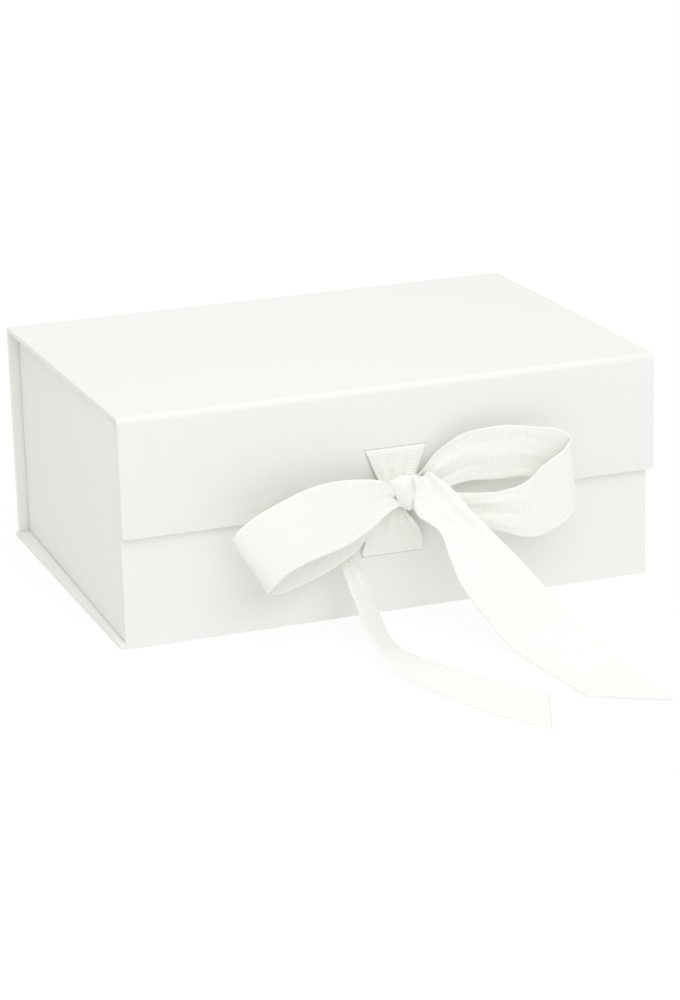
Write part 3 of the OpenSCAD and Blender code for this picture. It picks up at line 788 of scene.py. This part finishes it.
# %% The left tail
LEFT_TAIL = [
    (1.8, -87.8, 49.6, -0.25, 0.07, 0.97, 0.23),
    (-4.0, -87.6, 46.7, -0.31, 0.00, 0.95, 0.25),
    (-12.2, -87.7, 40.7, -0.60, -0.08, 0.80, 0.29),
    (-22.9, -88.9, 31.8, -0.97, -0.22, -0.13, 0.25),
    (-21.6, -91.2, 26.6, -0.91, -0.36, -0.20, 0.30),
    (-19.8, -95.5, 20.5, -0.86, -0.50, 0.07, 0.49),
    (-19.0, -101.0, 13.7, -0.70, -0.71, 0.13, 0.67),
    (-21.0, -122.0, 6.0, -0.63, -0.74, 0.36, 1.00),
    (-20.3, -144.6, 3.6, -0.61, -0.66, 0.20, 0.98),
    (-11.9, -167.8, 1.9, -0.94, -0.36, 0.11, 0.98),
    (-0.5, -191.1, 1.0, -0.93, -0.42, -0.02, 0.99),
    (7.9, -207.9, 1.0, -0.90, -0.43, -0.03, 1.00),
    (17.1, -222.8, 0.5, -0.91, -0.43, 0.00, 1.00),
]
ribbon_strip("left_tail", LEFT_TAIL, ["bow_left_tail"], "flap",
             cut=0.115, waves=2, fold_mm=1.2, seed=0.4)

# %% [markdown]
# The right tail leaves the knot at its top and comes down over the right loop. It is
# gathered into one channel there, which opens out into flat ribbon on the way to the table.
# A negative fold_mm turns the pleat over, so that its middle lies low.

# %% The right tail
RIGHT_TAIL = [
    (10.3, -88.8, 56.7, 1.00, 0.00, -0.08, 0.30),
    (9.7, -91.3, 59.5, 1.00, -0.07, 0.02, 0.32),
    (10.6, -93.9, 57.7, 0.95, -0.22, 0.22, 0.40),
    (11.3, -95.6, 55.2, 0.89, -0.25, 0.37, 0.51),
    (11.9, -97.3, 52.4, 0.84, -0.24, 0.48, 0.63),
    (12.5, -99.4, 50.2, 0.85, -0.20, 0.49, 0.69),
    (13.5, -101.8, 48.4, 0.87, -0.16, 0.47, 0.70),
    (15.0, -104.3, 46.9, 0.89, -0.13, 0.44, 0.66),
    (17.0, -107.0, 44.6, 0.89, -0.15, 0.42, 0.62),
    (18.9, -110.8, 41.7, 0.90, -0.17, 0.39, 0.64),
    (21.1, -119.2, 35.1, 0.93, -0.12, 0.35, 0.82),
    (24.0, -128.0, 27.6, 0.92, 0.00, 0.43, 0.98),
    (30.9, -142.6, 15.5, 0.79, 0.00, 0.56, 1.03),
    (36.9, -155.6, 7.5, 0.84, 0.10, 0.44, 1.03),
    (39.9, -172.0, 4.5, 0.90, 0.22, 0.26, 1.01),
    (41.7, -188.5, 2.5, 0.94, 0.26, 0.12, 1.01),
    (42.3, -205.4, 2.2, 0.99, 0.00, 0.03, 1.01),
    (45.9, -221.0, 0.6, 0.99, 0.08, 0.00, 1.00),
]
ribbon_strip("right_tail", RIGHT_TAIL, ["bow_right_tail"], "flap",
             cut=0.095, waves=1, fold_mm=-2.4, bow_mm=5.0, seed=3.1)

# %% [markdown]
# Each end of the ribbon is glued flat behind its panel, in a bed under the lining. From
# there it comes out of the slit and is drawn together on its way to the knot. The hidden
# part could be left out, but then nothing would hold the ribbon, so the rows start at the
# glued end. A negative bow_mm bends the ribs the other way, towards the slit.

# %% The upper tie
UPPER_TIE = [
    (2.1, -81.6, 86.0, 1.00, 0.00, 0.00, 1.00),
    (2.1, -81.6, 78.0, 1.00, 0.00, 0.00, 1.00),
    (2.1, -81.7, 71.1, 1.00, 0.00, 0.00, 1.00),
    (2.1, -82.4, 70.1, 1.00, 0.00, 0.00, 1.00),
    (2.1, -83.6, 69.9, 1.00, 0.00, 0.00, 1.00),
    (2.2, -84.3, 69.0, 1.00, 0.00, 0.01, 0.99),
    (2.4, -84.6, 66.5, 1.00, 0.00, 0.03, 0.93),
    (2.3, -85.1, 63.0, 1.00, 0.00, 0.05, 0.81),
    (2.0, -86.1, 59.5, 1.00, -0.01, 0.06, 0.68),
    (1.6, -87.5, 55.5, 1.00, 0.00, 0.05, 0.51),
]
ribbon_strip("upper_tie", UPPER_TIE, ["upper_ribbon"], "flap",
             waves=3, fold_mm=2.4, bow_mm=-4.0, seed=0.7)

# %% The lower tie
LOWER_TIE = [
    (0.9, -78.9, 8.6, 1.00, 0.00, 0.00, 1.00),
    (0.9, -78.9, 16.0, 1.00, 0.00, 0.00, 1.00),
    (0.9, -79.0, 23.3, 1.00, 0.00, 0.00, 1.00),
    (0.9, -79.7, 24.4, 1.00, 0.00, 0.00, 1.00),
    (0.9, -81.2, 24.6, 1.00, 0.00, 0.00, 1.00),
    (0.6, -82.0, 26.6, 1.00, 0.00, -0.02, 1.02),
    (1.0, -82.4, 29.1, 1.00, 0.00, -0.02, 1.00),
    (1.1, -83.1, 32.5, 1.00, 0.00, -0.04, 0.94),
    (0.9, -84.2, 36.5, 1.00, 0.00, -0.06, 0.81),
    (0.7, -85.3, 40.4, 0.99, 0.00, -0.10, 0.62),
    (0.9, -86.4, 43.9, 0.98, 0.00, -0.20, 0.39),
    (1.2, -87.2, 46.9, 0.95, 0.00, -0.31, 0.22),
]
ribbon_strip("lower_tie", LOWER_TIE, ["lower_ribbon"], "tray",
             waves=3, fold_mm=3.0, bow_mm=-6.0, seed=1.9)

# %% [markdown]
# The knot is the middle of the ribbon, folded lengthwise to 10 mm and wrapped round
# everything that meets there. A lump with a woven finish would do from afar, but close up
# it is plainly ribbon, so it is made of two strips too. The band runs from its upper left
# to its lower right, drawn tight towards its foot, and a narrow second turn lies beside it.
# dome_mm rolls their edges back, like the staves of a barrel.

# %% The knot
KNOT_WIDE = RIBBON_WIDE * 0.4
KNOT_BAND = [
    (0.5, -88.5, 55.8, 1.00, 0.00, 0.09, 0.55),
    (-0.5, -90.6, 58.7, 0.99, 0.00, 0.16, 0.61),
    (-0.7, -93.0, 60.1, 0.98, 0.00, 0.19, 0.74),
    (-0.4, -94.8, 59.4, 0.93, 0.00, 0.36, 0.87),
    (0.4, -95.8, 57.5, 0.90, 0.00, 0.44, 0.88),
    (1.3, -96.0, 54.8, 0.86, 0.00, 0.51, 0.82),
    (2.2, -95.6, 51.7, 0.88, 0.00, 0.47, 0.72),
    (3.0, -94.6, 48.9, 0.94, 0.00, 0.34, 0.58),
    (3.8, -92.6, 46.6, 1.00, 0.00, -0.01, 0.48),
    (5.3, -88.5, 45.7, 1.00, 0.00, -0.05, 0.47),
]
KNOT_FOLD = [
    (5.5, -88.5, 57.3, 1.00, 0.00, -0.08, 0.76),
    (4.7, -90.8, 59.8, 1.00, -0.05, -0.05, 0.83),
    (4.1, -92.6, 59.0, 0.97, -0.24, 0.04, 0.82),
    (3.9, -93.6, 55.8, 0.93, -0.35, 0.08, 0.79),
    (4.3, -93.5, 51.5, 0.91, -0.40, 0.12, 0.64),
    (4.7, -92.6, 48.1, 0.91, -0.40, 0.12, 0.50),
    (5.2, -91.0, 46.8, 0.98, -0.18, -0.03, 0.44),
    (6.2, -88.5, 47.4, 1.00, 0.00, -0.09, 0.47),
]
ribbon_strip("knot_band", KNOT_BAND, ["bow_knot"], "flap",
             waves=1, fold_mm=1.6, dome_mm=1.5, seed=0.2, wide=KNOT_WIDE)
ribbon_strip("knot_fold", KNOT_FOLD, ["bow_knot"], "flap",
             waves=3, fold_mm=1.8, dome_mm=0.6, seed=2.6, wide=KNOT_WIDE)

# %% [markdown]
# The photograph was lit the way shops show white goods: on a table of frosted acrylic that
# glows from below, so that hardly a shadow shows on it. A plain white floor would go grey
# round the box, so the floor here glows too, under a grey tint that keeps it from throwing
# much light back up. Sanding leaves the acrylic matt and very faintly cloudy.

# %% The table
FLOOR_HALF, FLOOR_GLOW = 6.0, 0.84
CLOUD_MM = 25


def floor_material():
    material, tree = new_material("frosted_acrylic_table")
    place = add(tree, "ShaderNodeTexCoord").outputs["Object"]
    clouds = add(tree, "ShaderNodeTexNoise", {"Vector": place},
                 {"Scale": 1 / (CLOUD_MM * MM), "Detail": 2})
    tint = add(tree, "ShaderNodeMix", {"Factor": clouds.outputs["Fac"]}, data_type="RGBA")
    tint.inputs["A"].default_value = colour("#6e6e6e")
    tint.inputs["B"].default_value = colour("#6a6a6a")
    finish_material(tree, add(tree, "ShaderNodeBsdfPrincipled",
                              {"Base Color": tint.outputs["Result"]},
                              {"Roughness": 0.9, "Specular IOR Level": 0.1,
                               "Emission Color": colour("#ffffff"),
                               "Emission Strength": FLOOR_GLOW}))
    return material


bm = bmesh.new()
bmesh.ops.create_grid(bm, x_segments=2, y_segments=2, size=FLOOR_HALF)
floor = to_object(bm, "floor", floor_material())
print("the table is %.0f m wide" % (2 * FLOOR_HALF))

# %% [markdown]
# One large soft lamp stands high in front of the box, a little to its right. A small lamp
# would draw hard shadows under the bow, which the photograph doesn't have, so this one is a
# disc as wide as a window.

# %% The lamp
LAMP_AT, LAMP_AIM = (0.12, -1.38, 1.10), (0, -0.05, 0.05)
LAMP_WIDE, LAMP_WATTS = 1.7, 7.5


def area_light(name, at, aim, wide, watts):
    light = bpy.data.objects.new(name, bpy.data.lights.new(name, "AREA"))
    light.data.shape = "DISK"
    light.data.size = wide
    light.data.energy = watts
    light.location = at
    light.rotation_euler = (Vector(aim) - Vector(at)).to_track_quat("-Z", "Y").to_euler()
    bpy.context.collection.objects.link(light)


area_light("key", LAMP_AT, LAMP_AIM, LAMP_WIDE, LAMP_WATTS)

# %% [markdown]
# The rest of the light comes from the white room. An even sky would light every face alike
# and flatten the box. This one is brightest overhead and falls away to the horizon, so that
# the top stays brighter than the walls, and the left wall, which the lamp reaches least,
# turns grey. The dot product of a direction in the sky and SKY_LEAN gives that slope.

# %% The sky
SKY_LEVEL, SKY_LEAN = 0.27, (-0.10, -0.06, 1.08)


def sky():
    world = bpy.data.worlds.new("studio")
    bpy.context.scene.world = world
    world.use_nodes = True
    tree = world.node_tree
    tree.nodes.clear()
    way = add(tree, "ShaderNodeTexCoord").outputs["Generated"]
    lean = add(tree, "ShaderNodeVectorMath", {0: way}, {1: SKY_LEAN}, operation="DOT_PRODUCT")
    power = math_node(tree, "ADD", lean.outputs["Value"], SKY_LEVEL)
    glow = add(tree, "ShaderNodeBackground", {"Strength": power}, {"Color": colour("#ffffff")})
    add(tree, "ShaderNodeOutputWorld", {"Surface": glow.outputs["Background"]})


sky()
# white stays white, without the soft shoulder of a film curve
bpy.context.scene.view_settings.view_transform = "Standard"
overhead = SKY_LEVEL + SKY_LEAN[2]
print("the sky is %.2f overhead and about %.2f at the horizon" % (overhead, SKY_LEVEL))
